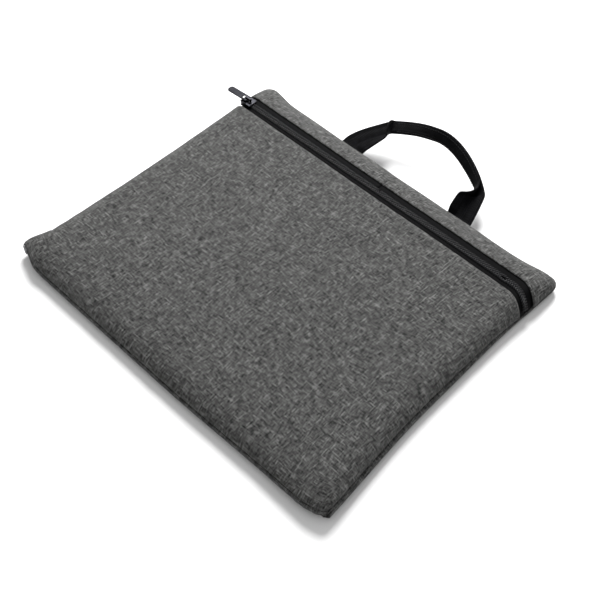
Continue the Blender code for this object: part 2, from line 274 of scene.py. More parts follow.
def scuff_group():
    """Fine marks and cloudy patches for metal and moulded parts."""
    tree, start, end = group(
        "Scuffs",
        (("Scale", 900.0),),
        (("Mask", "NodeSocketFloat"), ("Height", "NodeSocketFloat")),
    )
    coords = tree.nodes.new("ShaderNodeTexCoord").outputs["Object"]
    fine = tree.nodes.new("ShaderNodeTexNoise")
    fine.inputs["Detail"].default_value = 4.0
    tree.links.new(coords, fine.inputs["Vector"])
    tree.links.new(start.outputs["Scale"], fine.inputs["Scale"])
    cloud = noise_node(tree, coords, 260.0, 3.0)
    mixed = math_node(tree, "MULTIPLY", fine.outputs["Fac"], cloud)
    tree.links.new(spread(tree, mixed, 0.15, 0.42), end.inputs["Mask"])
    tree.links.new(fine.outputs["Fac"], end.inputs["Height"])
    return tree


GROUP_MAKERS = {"Melange weave": yarn_group, "Slanted ribs": rib_group, "Scuffs": scuff_group}


def shader_group(name):
    return bpy.data.node_groups.get(name) or GROUP_MAKERS[name]()


# Materials


def new_material(name, roughness):
    made = bpy.data.materials.new(name)
    made.use_nodes = True
    shader = made.node_tree.nodes["Principled BSDF"]
    shader.inputs["Roughness"].default_value = roughness
    return made, made.node_tree, shader


def placed_group(tree, name, **values):
    node = tree.nodes.new("ShaderNodeGroup")
    node.node_tree = shader_group(name)
    for socket, value in values.items():
        node.inputs[socket.replace("_", " ")].default_value = value
    return node


def two_colours(tree, factor, dark, light):
    mix = tree.nodes.new("ShaderNodeMix")
    mix.data_type = "RGBA"
    mix.clamp_factor = False
    tree.links.new(factor, mix.inputs["Factor"])
    mix.inputs[6].default_value = (*dark, 1)
    mix.inputs[7].default_value = (*light, 1)
    return mix.outputs[2]


def bump(tree, shader, height, distance, strength=1.0):
    node = tree.nodes.new("ShaderNodeBump")
    node.inputs["Strength"].default_value = strength
    node.inputs["Distance"].default_value = distance
    tree.links.new(height, node.inputs["Height"])
    tree.links.new(node.outputs["Normal"], shader.inputs["Normal"])


def lighter(colour, factor):
    return tuple(min(1.0, channel * factor) for channel in colour)


def cloth_material():
    made, tree, shader = new_material("melange_cloth", 0.92)
    shader.inputs["Sheen Weight"].default_value = 0.06
    shader.inputs["Sheen Roughness"].default_value = 0.5
    shader.inputs["Specular IOR Level"].default_value = 0.15
    weave = placed_group(tree, "Melange weave", Yarn_width=0.00046, Streak_length=0.0058)
    # The cloth's colour carries the painted glint highlights of the weave.
    base = two_colours(
        tree, weave.outputs["Lightness"], colours().yarn_dark, colours().yarn_light
    )
    tree.links.new(base, shader.inputs["Base Color"])
    bump(tree, shader, weave.outputs["Height"], 0.00018, 0.8)
    return made


def ribbed_material(name, colour, pitch, band, slant, depth, roughness, light=2.6):
    made, tree, shader = new_material(name, roughness)
    shader.inputs["Specular IOR Level"].default_value = 0.04
    ribs = placed_group(tree, "Slanted ribs", Rib_pitch=pitch, Band_width=band, Slant=slant)
    # The colour runs from dark in the grooves to light on the rib crowns, a painted shade and painted
    # highlight mixed with wear patches; light is how much lighter the crowns are painted.
    base = two_colours(tree, ribs.outputs["Wear"], lighter(colour, 0.7), lighter(colour, light))
    tree.links.new(base, shader.inputs["Base Color"])
    bump(tree, shader, ribs.outputs["Height"], depth)
    return made


def moulded_material(name, colour, roughness, metallic=0.0, depth=0.00003, scale=900.0):
    made, tree, shader = new_material(name, roughness)
    shader.inputs["Metallic"].default_value = metallic
    shader.inputs["Specular IOR Level"].default_value = 0.3
    scuffs = placed_group(tree, "Scuffs", Scale=scale)
    base = two_colours(tree, scuffs.outputs["Mask"], colour, lighter(colour, 1.7))
    tree.links.new(base, shader.inputs["Base Color"])
    ranged = tree.nodes.new("ShaderNodeMapRange")
    ranged.inputs["To Min"].default_value = max(0.05, roughness - 0.1)
    ranged.inputs["To Max"].default_value = min(1.0, roughness + 0.15)
    tree.links.new(scuffs.outputs["Mask"], ranged.inputs["Value"])
    tree.links.new(ranged.outputs["Result"], shader.inputs["Roughness"])
    bump(tree, shader, scuffs.outputs["Height"], depth)
    return made


MATERIAL_MAKERS = {
    "cloth": cloth_material,
    # The webbing's rib crowns are painted much lighter than its grooves: painted highlights.
    "webbing": lambda: ribbed_material(
        "ribbed_webbing", colours().webbing, pitch=0.0019, band=0.0042, slant=0.9, depth=0.00040,
        roughness=0.62, light=6.0,
    ),
    "tape": lambda: ribbed_material(
        "zip_tape", colours().tape, pitch=0.0007, band=0.0012, slant=1.0, depth=0.00008, roughness=0.7
    ),
    "binding": lambda: ribbed_material(
        "binding_tape", colours().tape, pitch=0.0009, band=0.0016, slant=1.0, depth=0.00008,
        roughness=0.75,
    ),
    "lining": lambda: ribbed_material(
        "lining_cloth", colours().lining, pitch=0.0008, band=0.0008, slant=1.0, depth=0.00005,
        roughness=0.8,
    ),
    "coil": lambda: moulded_material("nylon_coil", colours().coil, roughness=0.45),
    "metal": lambda: moulded_material("dark_metal", colours().metal, roughness=0.38, metallic=1.0),
    "thread": lambda: moulded_material(
        "sewing_thread", colours().thread, roughness=0.7, depth=0.00006, scale=2500.0
    ),
    "dark_thread": lambda: moulded_material(
        "dark_thread", colours().webbing, roughness=0.7, depth=0.00006, scale=2500.0
    ),
    "foam": lambda: moulded_material(
        "closed_cell_foam", colours().foam, roughness=0.9, depth=0.0002, scale=1400.0
    ),
}
MATERIALS = {}


def look(name):
    if name not in MATERIALS:
        MATERIALS[name] = MATERIAL_MAKERS[name]()
    return MATERIALS[name]


# Mesh helpers


def placed(name, data):
    """A new object in the scene."""
    made = bpy.data.objects.new(name, data)
    bpy.context.scene.collection.objects.link(made)
    return made


def finish_mesh(name, bm, material):
    mesh = bpy.data.meshes.new(name)
    bm.to_mesh(mesh)
    bm.free()
    mesh.materials.append(look(material))
    mesh.shade_smooth()
    return placed(name, mesh)


def mapped_grid(columns, rows, place, reach):
    """A grid whose points go where place(column, row) says. Its UV map is in metres, from reach."""
    bm = bmesh.new()
    nx, ny = len(columns) - 1, len(rows) - 1
    bmesh.ops.create_grid(bm, x_segments=nx, y_segments=ny, size=1)
    spots = {}
    for vert in bm.verts:
        i = round((vert.co.x + 1) / 2 * nx)
        j = round((vert.co.y + 1) / 2 * ny)
        spots[vert] = (i, j)
        vert.co = place(columns[i], rows[j])
    uv = bm.loops.layers.uv.new("Metres")
    across, along = reach
    for face in bm.faces:
        for loop in face.loops:
            i, j = spots[loop.vert]
            loop[uv].uv = (across[i], along[j])
    return bm


def distances(points):
    """How far along a chain of points each one is."""
    total = [0.0]
    for before, after in zip(points, points[1:]):
        total.append(total[-1] + (after - before).length)
    return total


def walk(reach, goals):
    """For each goal along a line, the point before it and the share of the way to the next one."""
    index = 0
    for goal in goals:
        while index < len(reach) - 2 and reach[index + 1] < goal:
            index += 1
        yield index, (goal - reach[index]) / (reach[index + 1] - reach[index])


def spaced(low, high, count):
    return [low + (high - low) * k / count for k in range(count + 1)]


def thicken(piece, thickness, offset=-1.0):
    solid = piece.modifiers.new("thickness", "SOLIDIFY")
    solid.thickness = thickness
    solid.offset = offset
    return piece


def apply_modifiers(piece):
    graph = bpy.context.evaluated_depsgraph_get()
    mesh = bpy.data.meshes.new_from_object(piece.evaluated_get(graph))
    piece.modifiers.clear()
    piece.data = mesh
    return piece


# The two faces of the sleeve


class Stop:
    """A column or row of the cloth. edge is 1 on the seam and 0 where the face is flat."""

    def __init__(self, side, edge, share=0.0, order=-1):
        self.side = side
        self.edge = edge
        self.share = share
        self.order = order


SEAM_ANGLES = (0.0, 1.1, 2.3, 4.0)


def rounding(side, count):
    """Stops from the seam to the flat part. They start close together, for the groove of the seam."""
    first = SEAM_ANGLES if count > 6 else SEAM_ANGLES[:1]
    rest = [first[-1] + (90 - first[-1]) * (k / count) ** 1.15 for k in range(1, count)]
    angles = (*first, *rest)
    return [Stop(side, math.cos(math.radians(angle)), 0.0, k) for k, angle in enumerate(angles)]


def across_stops(round_count, flat_count):
    flat = [Stop(0, 0.0, k / flat_count) for k in range(flat_count + 1)]
    return rounding(-1, round_count) + flat + rounding(1, round_count)[::-1]


def smooth(value):
    value = min(max(value, 0.0), 1.0)
    return value * value * (3 - 2 * value)


def hill(value):
    """1 at 0, falling to 0 on both sides."""
    return math.exp(-value * value)


def soft_noise(x, y, size, seed):
    return noise.noise(Vector((x / size, y / size, seed)))


def broad_waves(x, y):
    """Soft waves over the whole front, in two sizes."""
    return 0.6 * soft_noise(x, y, 0.075, 1.3) + 0.4 * soft_noise(x, y, 0.034, 2.6)


# Seams: how far they are drawn in, how wide the groove is, and the gap between the two cloths there
SEAM_TUCK = 0.0013
SEAM_GROOVE = 0.045
SEAM_GAP = 0.00012
TOP_TUCK = 0.1
DART_DEPTH = 0.0012
BACK_BULGE = 0.0016

# How steeply the cloth rises from the seams: lower is steeper
SIDE_RISE = 0.5
TOP_RISE = 0.85
BACK_RISE = 0.30

# How far a layer's edge moves in for each unit of its depth
SIDE_SHIFT = 1.15
TOP_SHIFT = 1.5
BACK_SHIFT = 1.1
EXTRA_ROUND = 0.007

# Corners, by their side in x and in y
CORNER_RADII = {(-1, -1): 0.0025, (1, -1): 0.0070, (-1, 1): 0.0090, (1, 1): 0.0075}
INNER_CORNER = 0.009
EAR_OUT = 0.0042
EAR_UP = 0.0055
BOXED_UP = 0.0035

# The open end of the zip
ZIP_END_TURN = 0.0100
ZIP_END_DOWN = 0.0035
ZIP_END_START = 0.147
ZIP_END_RUN = 0.028


class Face:
    """One padded face. depth counts in from the outside of the cloth."""

    def __init__(self, front):
        self.front = front

    def rounds(self, y_side, y, depth):
        """How far in the rounded edge reaches, and where it starts, for this layer."""
        s = sizes()
        if not self.front:
            return s.back_round + EXTRA_ROUND * (1 - smooth(self.down(y) * 3)), depth * BACK_SHIFT
        if y_side > 0:
            return SLEEVE_HIGH.y - ZIP_HIGH_Y, depth * TOP_SHIFT
        if y_side < 0:
            return s.bottom_round, depth * SIDE_SHIFT
        return s.side_round + EXTRA_ROUND * smooth(self.down(y) * 1.4), depth * SIDE_SHIFT

    def down(self, y):
        """0 at the top seam and 1 at the bottom seam."""
        return min(max((SLEEVE_HIGH.y - y) / (SLEEVE_HIGH.y - SLEEVE_LOW.y), 0.0), 1.0)

    def left(self, y):
        """The left seam flares towards the bottom and ends in the tip of the ear."""
        t = self.down(y)
        ear = hill((y - SLEEVE_LOW.y - 0.004) / 0.015)
        return SLEEVE_LOW.x - 0.0012 - 0.0030 * t * t + 0.0018 * math.sin(math.pi * t) - EAR_OUT * ear

    def right(self, y):
        """The right seam is drawn in half way down."""
        t = self.down(y)
        bow = 0.0052 * math.sin(math.pi * t) ** 1.2 + 0.0014 * hill((y - 0.085) / 0.05)
        return SLEEVE_HIGH.x - 0.0006 - bow + 0.0026 * smooth((t - 0.6) / 0.4)

    def bottom(self, x):
        """The bottom seam bows out in the middle, and rises towards the two corners."""
        left = smooth((-x - 0.152) / 0.026)
        right = smooth((x - 0.152) / 0.020)
        return SLEEVE_LOW.y - 0.0014 + 0.0070 * left + 0.0035 * right + 0.0022 * smooth((x - 0.010) / 0.11)

    def top(self, x):
        """The top seam dips a little between the ends of the handle, and juts out at the corners."""
        wave = 0.0007 * soft_noise(x, 0, 0.045, 5.1)
        corners = 0.0050 * hill((x + 0.163) / 0.018) + 0.0040 * hill((x - 0.158) / 0.018)
        return SLEEVE_HIGH.y - 0.0005 * hill(x / 0.08) + corners + wave

    def seam_height(self, x, y):
        """The bottom left corner is pulled up into an ear, and the bottom right one is boxed."""
        ear = hill((x - SLEEVE_LOW.x) / 0.020) * hill((y - SLEEVE_LOW.y) / 0.022)
        end = hill((x - SLEEVE_HIGH.x) / 0.030) * hill((y - ZIP_Y) / 0.030)
        boxed = hill((x - SLEEVE_HIGH.x) / 0.055) * hill((y - SLEEVE_LOW.y) / 0.055)
        return SEAM_Z + EAR_UP * ear + BOXED_UP * boxed - ZIP_END_DOWN * end

    def height(self, x, y):
        """Rise above the seam where the face is flat."""
        seam = self.seam_height(x, y)
        if not self.front:
            return seam
        return FRONT_TOP - seam + 0.0012 * smooth(self.down(y) * 1.2)

    def place(self, column, row, depth=0.0):
        """Where this column and row of the cloth meet, this deep under its outside."""
        ex, ey = column.edge, row.edge
        y = row.share
        if row.side < 0:
            y = self.bottom(0.0)
        elif row.side > 0:
            y = self.top(0.0)
        round_x, start_x = self.rounds(0, y, depth)
        round_y, start_y = self.rounds(row.side, y, depth)
        # Rows and columns meet in round contours over the corners.
        power = 4 if row.side < 0 and self.front else 2
        across, along = ex ** power, ey ** power
        edge = min(across + along - across * along, 1.0) ** (1 / power)
        toward_top = ey * ey / (ex * ex + ey * ey) if row.side > 0 and ex + ey > 0 else 0.0
        slope = SIDE_RISE + (TOP_RISE - SIDE_RISE) * toward_top if self.front else BACK_RISE
        rise = max(1 - edge * edge, 0.0) ** slope
        tuck = SEAM_TUCK * (math.exp(-rise / SEAM_GROOVE) if depth == 0 else 1.0)
        if not self.front and depth == 0:
            swell = math.sin(math.pi * min(rise * 1.15, 1.0)) * smooth(self.down(y) * 2)
            swell *= 1 - smooth(3 * min(ex, ey))
            tuck -= BACK_BULGE * swell * (1 + smooth(column.side * ex))
        on_dart = row.side < 0 and self.front and row.order == column.order >= 0 and depth == 0
        dart = DART_DEPTH * smooth((edge - 0.45) / 0.2) * smooth((1 - edge) / 0.06) if on_dart else 0.0
        in_x = start_x + (round_x - start_x) * (1 - ex) + tuck * ex ** 8 + dart
        # The top seam stays on the flap's axis, so it doesn't part when the flap lifts.
        tuck_y = tuck * TOP_TUCK if row.side > 0 and depth == 0 else tuck
        in_y = start_y + (round_y - start_y) * (1 - ey) + tuck_y * ey ** 8 + dart
        if row.side < 0:
            y += in_y
        elif row.side > 0:
            y -= in_y
        left, right = self.left(y), self.right(y)
        if column.side < 0:
            x = left + in_x
        elif column.side > 0:
            x = right - in_x
        else:
            x = left + round_x + (right - left - 2 * round_x) * column.share
        if row.side < 0:
            y = self.bottom(x) + in_y
        elif row.side > 0:
            y = SLEEVE_HIGH.y + (self.top(x) - SLEEVE_HIGH.y) * ey - in_y
        if row.side and column.side:
            x, y = self.round_corner(x, y, column.side, row.side, depth)
        y += self.zip_shift(x, y) if self.front else 0.0
        seam = self.seam_height(x, y)
        height = self.height(x, y) - depth
        up = SEAM_GAP + (height - SEAM_GAP) * rise
        up -= dart * 0.4
        if self.front:
            return Vector((x, y, seam + up + self.waves(x, y, rise, edge)))
        return Vector((x, y, seam - up))

    def round_corner(self, x, y, side_x, side_y, depth):
        """Moves a place near a sharp corner of the plan onto a round one."""
        radius = CORNER_RADII[side_x, side_y] + (INNER_CORNER if depth else 0.0)
        away_x = x - self.left(y) if side_x < 0 else self.right(y) - x
        away_y = y - self.bottom(x) if side_y < 0 else self.top(x) - y
        if away_x > radius or away_y > radius:
            return x, y
        near_x = 1 - max(away_x, 0.0) / radius
        near_y = 1 - max(away_y, 0.0) / radius
        move_x = radius * near_x * (1 - math.sqrt(1 - near_y * near_y / 2))
        move_y = radius * near_y * (1 - math.sqrt(1 - near_x * near_x / 2))
        return x - side_x * move_x, y - side_y * move_y

    def zip_shift(self, x, y):
        """The open end of the zip turns down as it goes over the side."""
        return -ZIP_END_TURN * smooth((x - ZIP_END_START) / ZIP_END_RUN) * hill((y - ZIP_Y) / 0.022)

    def waves(self, x, y, rise, edge):
        """Soft waves in the middle, and puckers that die out away from the seams."""
        s = sizes()
        broad = broad_waves(x, y)
        near_side = math.exp(-min(x - self.left(y), self.right(y) - x) / 0.012)
        near_end = math.exp(-(y - SLEEVE_LOW.y) / 0.014)
        side_ripple = soft_noise(x * 0.5, y, 0.009, 7.7) * near_side
        ripple = side_ripple + soft_noise(x, y * 0.5, 0.011, 9.1) * near_end
        inside = 4 * rise * (1 - rise)
        hem = hill((y - SLEEVE_LOW.y - 0.027) / 0.007)
        return s.sag * broad * rise + s.pucker * 1.4 * ripple * inside - 0.0006 * hem * rise


FRONT = Face(True)
BACK = Face(False)

# Stops in a rounded edge and in the flat part, for the outer cloth, the back and the inner layers
ROUND_COUNT = 12
FINE_COUNT = 116
FRONT_ROWS = 90
BAND_ROWS = 26
BACK_ROUND_COUNT = 8
BACK_COLUMNS = 70
BACK_ROWS = 60
INNER_ROUND_COUNT = 5
COARSE_COUNT = 30
INNER_ROWS = 20
INNER_BAND_ROWS = 10

# Layers inside the cloth: how deep the outside of each is, and how thick it is
FOAM_DEPTH, FOAM_THICKNESS = 0.0019, 0.0028
LINING_DEPTH, LINING_THICKNESS = 0.0050, 0.0005
BACK_CLOSER = 0.0008
INNER_BACK_FROM_ZIP = 0.002


def flat_rows(count):
    """Rows of the flat part, from the bottom rounding to the zip."""
    start = SLEEVE_LOW.y + sizes().bottom_round
    return [Stop(0, 0.0, start + (ZIP_LOW_Y - start) * k / count) for k in range(count + 1)]


def layer(name, face, columns, rows, depth, material, thickness):
    """One sheet of the sleeve, with its outside at this depth and its thickness inside it."""
    middle = Stop(0, 0.0, 0.5)
    reach = (
        distances([face.place(c, Stop(0, 0.0, 0.0), depth) for c in columns]),
        distances([face.place(middle, r, depth) for r in rows]),
    )
    bm = mapped_grid(columns, rows, lambda c, r: face.place(c, r, depth), reach)
    if not face.front:
        bmesh.ops.reverse_faces(bm, faces=bm.faces)
    piece = finish_mesh(name, bm, material)
    thicken(piece, thickness)
    return apply_modifiers(piece)


def band_rows(count):
    """Rows of the band, from the zip to the top seam."""
    return rounding(1, count)[::-1]


def left_half(columns):
    return [c for c in columns if c.side < 0 or (c.side == 0 and c.share <= 0.5)]


def right_half(columns):
    return [c for c in columns if c.side > 0 or (c.side == 0 and c.share >= 0.5)]


def mouth_blend(piece, sign):
    """Bakes the piece's place into its mesh."""
    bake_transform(piece)


def hold(piece, side):
    """A piece with a side has its place baked into its mesh; a piece with no side stays with the sleeve."""
    if side:
        mouth_blend(piece, side)
    else:
        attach(piece, "sleeve")


def back_rows(round_count, count):
    """Rows of the back, from the bottom seam to the top seam."""
    inset = sizes().back_round
    flat = [Stop(0, 0.0, y) for y in spaced(SLEEVE_LOW.y + inset, SLEEVE_HIGH.y - inset, count)]
    return rounding(-1, round_count) + flat + rounding(1, round_count)[::-1]


class SLEEVE_OT_cloth(bpy.types.Operator):
    """Make the outer cloth: front panel, back panel and the two halves of the top band"""

    bl_idname = "sleeve.cloth"
    bl_label = "Outer cloth"

    def execute(self, context):
        cloth = sizes().cloth
        columns = across_stops(ROUND_COUNT, FINE_COUNT)
        rows = rounding(-1, ROUND_COUNT) + flat_rows(FRONT_ROWS)
        front = layer("front_cloth", FRONT, columns, rows, 0.0, "cloth", cloth)
        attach(front, "sleeve")
        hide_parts("front_panel")

        columns_back = across_stops(BACK_ROUND_COUNT, BACK_COLUMNS)
        rows = back_rows(BACK_ROUND_COUNT, BACK_ROWS)
        back = layer("back_cloth", BACK, columns_back, rows, 0.0, "cloth", cloth)
        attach(back, "sleeve")
        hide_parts("back_panel")

        for half, sign, side in ((left_half, -1, "left"), (right_half, 1, "right")):
            rows = band_rows(BAND_ROWS)
            band = layer(f"band_cloth_{side}", FRONT, half(columns), rows, 0.0, "cloth", cloth)
            mouth_blend(band, sign)
            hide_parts("top_band")
        return {"FINISHED"}


class SLEEVE_OT_inside(bpy.types.Operator):
    """Make the padding and the lining behind each piece of cloth"""

    bl_idname = "sleeve.inside"
    bl_label = "Padding and lining"

    def execute(self, context):
        self.line("padding", "foam", FOAM_DEPTH, FOAM_THICKNESS)
        self.line("lining_cloth", "lining", LINING_DEPTH, LINING_THICKNESS)
        return {"FINISHED"}

    def line(self, word, slot, depth, thickness):
        """One layer behind the front, the back and both halves of the band."""
        columns = across_stops(INNER_ROUND_COUNT, COARSE_COUNT)
        high_y = ZIP_LOW_Y - INNER_BACK_FROM_ZIP
        flat_y = spaced(SLEEVE_LOW.y + sizes().bottom_round, high_y, INNER_ROWS)
        rows = rounding(-1, INNER_ROUND_COUNT) + [Stop(0, 0.0, y) for y in flat_y]
        front = layer(f"front_{word}", FRONT, columns, rows, depth, slot, thickness)
        rows = back_rows(INNER_ROUND_COUNT, INNER_ROWS)
        back = layer(f"back_{word}", BACK, columns, rows, depth - BACK_CLOSER, slot, thickness)
        bands = []
        for half, sign, side in ((left_half, -1, "left"), (right_half, 1, "right")):
            rows = band_rows(INNER_BAND_ROWS)[1:]
            band = layer(f"band_{word}_{side}", FRONT, half(columns), rows, depth, slot, thickness)
            mouth_blend(band, sign)
            bands.append(band)
        for piece in (front, back):
            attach(piece, "sleeve")
        nodes = (("front", front), ("back", back), ("band", bands[0]), ("band", bands[1]))
        for place, piece in nodes:
            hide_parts(f"{place}_{slot}")
            if slot == "foam":
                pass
            else:
                side = piece.name.removeprefix(f"{place}_{word}")


# Zip

# Room left for the slider and for its post where they stop, along the zip, and how it fades
SLIDER_ROOM, SLIDER_FADE = 0.004, 0.003
POST_START, POST_LENGTH = 0.0010, 0.0045
POST_ROOM, POST_FADE = 0.002, 0.0015

# Bindings: how far in from the seam they reach, their half height and thickness, and their runs
BINDING_INNER, BINDING_OUTER = 0.0070, 0.0125
BINDING_HALF, BINDING_THICKNESS = 0.0009, 0.0004
BINDING_BENDS = 6
BINDING_X, BINDING_X_STEPS = (-0.150, 0.150), 60
BINDING_Y, BINDING_Y_STEPS = (-0.112, 0.128), 50

# Tapes: they part by so much at the slider and at its post, and reach under the cloth
TAPE_DEPTH, TAPE_WIDTH, TAPE_THICKNESS = 0.00115, 0.0125, 0.00045
TAPE_UNDER_CLOTH = 0.005
TAPE_HALF_GAP = 0.0002
SLIDER_PARTING, POST_PARTING = 0.0055, 0.0006
TAPE_TURN_STEPS, TAPE_STEPS, TAPE_SHARES = 14, 120, 6

# Coils: half their width and height, the centre line of one, and what the post changes
COIL_DEPTH, COIL_STEPS = 0.0009, 900
COIL_LEFT_INSET, COIL_RIGHT_INSET = 0.004, 0.0015
COIL_START_LOWER, COIL_START_UPPER = 0.004, 0.0045
COIL_TURN_POINTS = 10
COIL_HALF_WIDTH, COIL_HALF_HEIGHT = 0.00150, 0.00062
COIL_OUT, COIL_UP = 0.00125, 0.00075
COIL_ASIDE, COIL_NARROWER = 0.00065, 0.00045

# Topstitches: distance from the zip's edge, where the rows end, and the stitch's half sizes
STITCH_FROM_EDGE = 0.0024
STITCH_X = (-0.158, 0.156)
STITCH_LENGTH_SHARE, STITCH_HALF_WIDTH, STITCH_HALF_HEIGHT = 0.36, 0.00024, 0.00016
STITCH_LOOK_AHEAD = 0.0005


def zip_line(x, depth):
    """The height of the front face along the zip, at this depth."""
    left, right = FRONT.left(ZIP_Y), FRONT.right(ZIP_Y)
    round_x = sizes().side_round
    start = depth * SIDE_SHIFT
    inset = min(x - left, right - x)
    edge = 1 - (inset - start) / (round_x - start)
    edge = min(max(edge, 0.0), 1.0)
    rise = math.sqrt(1 - edge * edge)
    return FRONT.seam_height(x, ZIP_Y) + (FRONT.height(x, ZIP_Y) - depth) * rise


def by_slider(x):
    """1 where the slider stops at either end of its travel, fading to 0 on both sides."""
    near = 0.0
    for travel in (0.0, SLIDER_TRAVEL):
        low, high = SLIDER_LOW.x + travel, SLIDER_HIGH.x + travel
        before = smooth((x - low + SLIDER_ROOM) / SLIDER_FADE)
        near = max(near, before * smooth((high + SLIDER_ROOM - x) / SLIDER_FADE))
    return near


def by_post(x):
    """1 where the slider's post stands between the two coils, at either end of the travel."""
    near = 0.0
    for travel in (0.0, SLIDER_TRAVEL):
        low = SLIDER_LOW.x + travel + POST_START
        before = smooth((x - low + POST_ROOM) / POST_FADE)
        near = max(near, before * smooth((low + POST_LENGTH - x) / POST_FADE))
    return near


def zip_waves(x, y):
    """The waves of the front along the zip, flat where the slider stops."""
    return sizes().sag * broad_waves(x, y) * (1 - by_slider(x))


class SLEEVE_OT_bindings(bpy.types.Operator):
    """Bind the four seam allowances inside the pocket with folded tape"""

    bl_idname = "sleeve.bindings"
    bl_label = "Seam bindings"

    def execute(self, context):
        flat_x = spaced(*BINDING_X, BINDING_X_STEPS)
        flat_y = spaced(*BINDING_Y, BINDING_Y_STEPS)
        runs = {
            "side_binding_left": [Vector((FRONT.left(y), y, 1)) for y in flat_y],
            "side_binding_right": [Vector((FRONT.right(y), y, -1)) for y in flat_y],
            "bottom_binding": [Vector((x, FRONT.bottom(x), 1)) for x in flat_x],
            "top_binding": [Vector((x, FRONT.top(x), -1)) for x in flat_x],
        }
        for node, run in runs.items():
            self.bind(node, run, node.startswith("side"))
        return {"FINISHED"}

    def bind(self, node, run, upright):
        """Fold one tape over the seam allowance along this run."""
        half = BINDING_HALF
        bends = [math.pi * (k / BINDING_BENDS - 0.5) for k in range(BINDING_BENDS + 1)]
        section = [(BINDING_INNER, -half)]
        section += [(BINDING_OUTER - half + half * math.cos(a), half * math.sin(a)) for a in bends]
        section += [(BINDING_INNER, half)]

        def place(at, spot):
            reach, up = spot
            x = at.x + at.z * reach if upright else at.x
            y = at.y if upright else at.y + at.z * reach
            return Vector((x, y, FRONT.seam_height(x, y) + up))

        along = distances([place(at, section[0]) for at in run])
        across = distances([place(run[0], spot) for spot in section])
        bm = mapped_grid(run, section, place, (along, across))
        bmesh.ops.recalc_face_normals(bm, faces=bm.faces)
        flat_tape = finish_mesh(f"{node}_tape", bm, "binding")
        tape = apply_modifiers(thicken(flat_tape, BINDING_THICKNESS, 0.0))
        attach(tape, "sleeve")
        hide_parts(node)


class SLEEVE_OT_tapes(bpy.types.Operator):
    """Make the zip's two tapes, which part at the closed end to pass the slider"""

    bl_idname = "sleeve.tapes"
    bl_label = "Zip tapes"

    def execute(self, context):
        inset = TAPE_DEPTH * SIDE_SHIFT
        left, right = FRONT.left(ZIP_Y) + inset, FRONT.right(ZIP_Y) - inset
        round_x = sizes().side_round
        angles = [math.pi / 2 * k / TAPE_TURN_STEPS for k in range(TAPE_TURN_STEPS)]
        turns = [round_x * (1 - math.cos(angle)) for angle in angles]
        xs = [left + turn for turn in turns]
        xs += spaced(left + round_x, right - round_x, TAPE_STEPS)
        xs += [right - turn for turn in reversed(turns)]
        shares = spaced(0.0, 1.0, TAPE_SHARES)
        for sign, level in ((-1, "lower"), (1, "upper")):
            halves = ((xs, 0, ""),)
            if sign > 0:
                middle = len(xs) // 2
                halves = ((xs[: middle + 1], -1, "_left"), (xs[middle:], 1, "_right"))
            for part, side, word in halves:
                self.make(f"{level}_tape{word}", part, shares, sign, side)
        return {"FINISHED"}

    def make(self, name, xs, shares, sign, side):
        """One tape, from the middle of the zip to its edge hidden under the cloth."""
        hidden_y = ZIP_Y + sign * (ZIP_HIGH_Y - ZIP_Y + TAPE_UNDER_CLOTH)
        park = SLIDER_HIGH.x + 0.003

        def place(x, share):
            parting = smooth((park - x) / 0.006)
            aside = max(SLIDER_PARTING * parting, POST_PARTING * by_post(x))
            near = ZIP_Y + sign * (TAPE_HALF_GAP + aside)
            y = near + (hidden_y - near) * share
            z = zip_line(x, TAPE_DEPTH) + zip_waves(x, y)
            return Vector((x, y + FRONT.zip_shift(x, ZIP_Y), z))

        along = distances([place(x, 1.0) for x in xs])
        bm = mapped_grid(xs, shares, place, (along, [share * TAPE_WIDTH for share in shares]))
        if sign < 0:
            bmesh.ops.reverse_faces(bm, faces=bm.faces)
        tape = thicken(finish_mesh(name, bm, "tape"), TAPE_THICKNESS)
        apply_modifiers(tape)
        hold(tape, side)
        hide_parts("zip_tape_lower" if sign < 0 else "zip_tape_upper")


def zip_path():
    """Points along the zip's centre line and how far along it they are."""
    left, right = FRONT.left(ZIP_Y) + COIL_LEFT_INSET, FRONT.right(ZIP_Y) - COIL_RIGHT_INSET
    points = []
    for x in spaced(left, right, COIL_STEPS):
        y = ZIP_Y + FRONT.zip_shift(x, ZIP_Y)
        points.append(Vector((x, y, zip_line(x, COIL_DEPTH) + zip_waves(x, ZIP_Y))))
    return points, distances(points)


